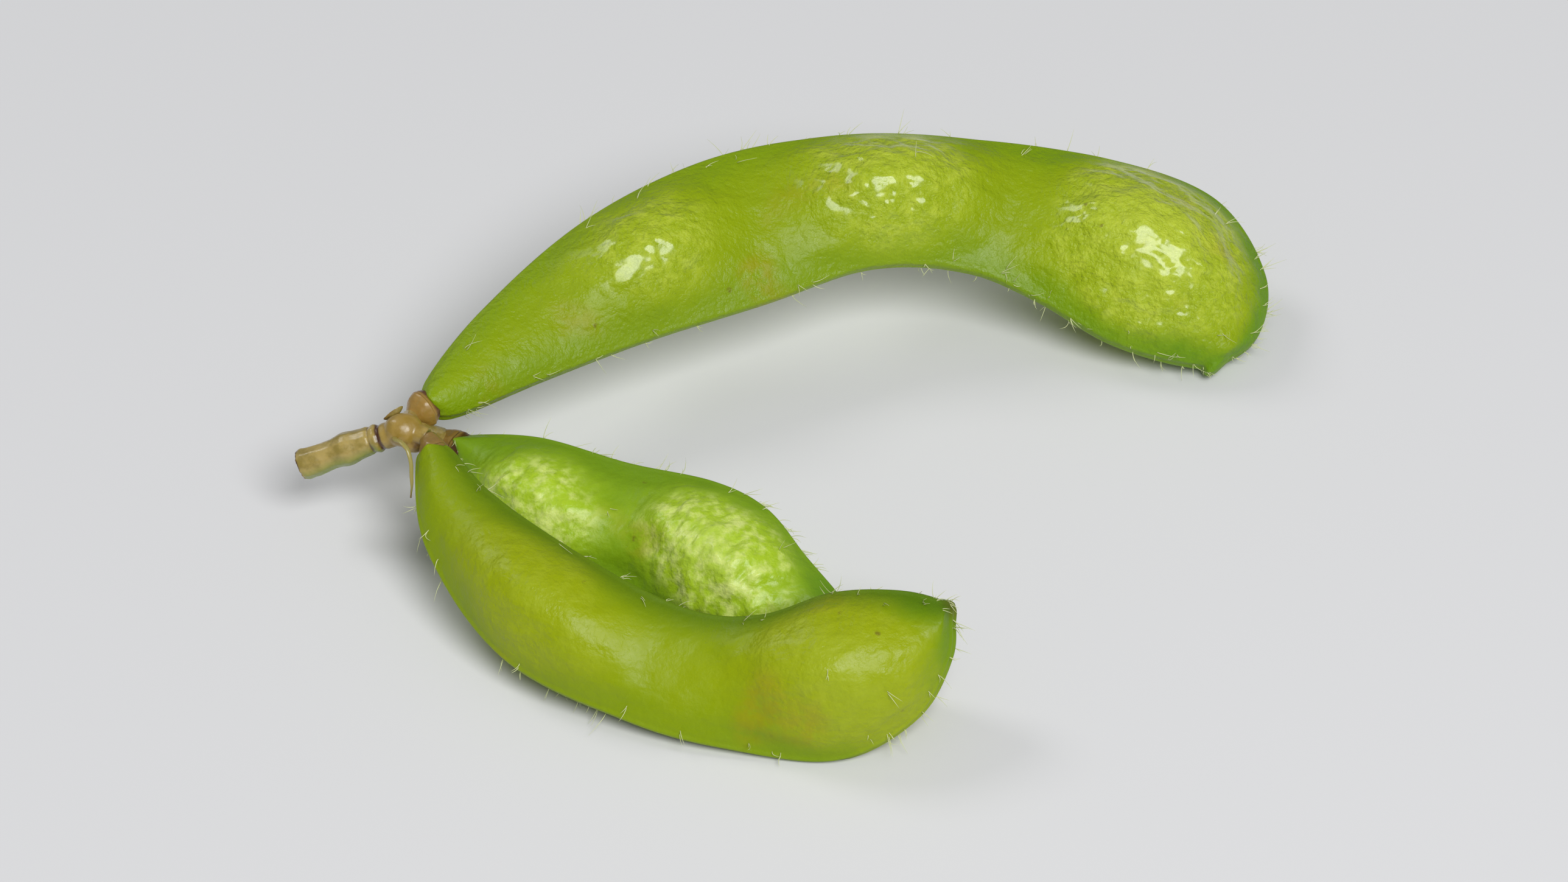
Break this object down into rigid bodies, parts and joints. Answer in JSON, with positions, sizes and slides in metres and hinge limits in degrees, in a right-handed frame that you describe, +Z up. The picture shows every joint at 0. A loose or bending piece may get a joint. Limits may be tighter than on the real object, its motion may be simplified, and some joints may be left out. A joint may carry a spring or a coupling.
{
  "type": "edamame branch",
  "caption": "Cut soybean stem stub with a knobbly node carrying boiled green pods, lying on a surface.",
  "frame": {"origin": "on the surface that the branch lies on, under the middle of its bounding box", "axes": "+X from the cut stem towards the pods' tips, +Z up from the surface"},
  "size_m": [0.07, 0.0558, 0.0146],
  "materials": {
    "pod": "moist yellow-green boiled pod skin, paler and crinkled over the beans",
    "stem": "olive-tan cooked stem, satin",
    "calyx": "dried brown sepals with darker rims, matte",
    "bract": "withered brown bract, matte"
  },
  "bodies": {
    "root": {"stem": "stem", "pod_long": "pod", "pod_front": "pod", "pod_middle": "pod", "calyx_long": "calyx", "calyx_front": "calyx", "calyx_middle": "calyx", "bract_thread": "bract", "bract_scale": "bract"}
  },
  "joints": []
}
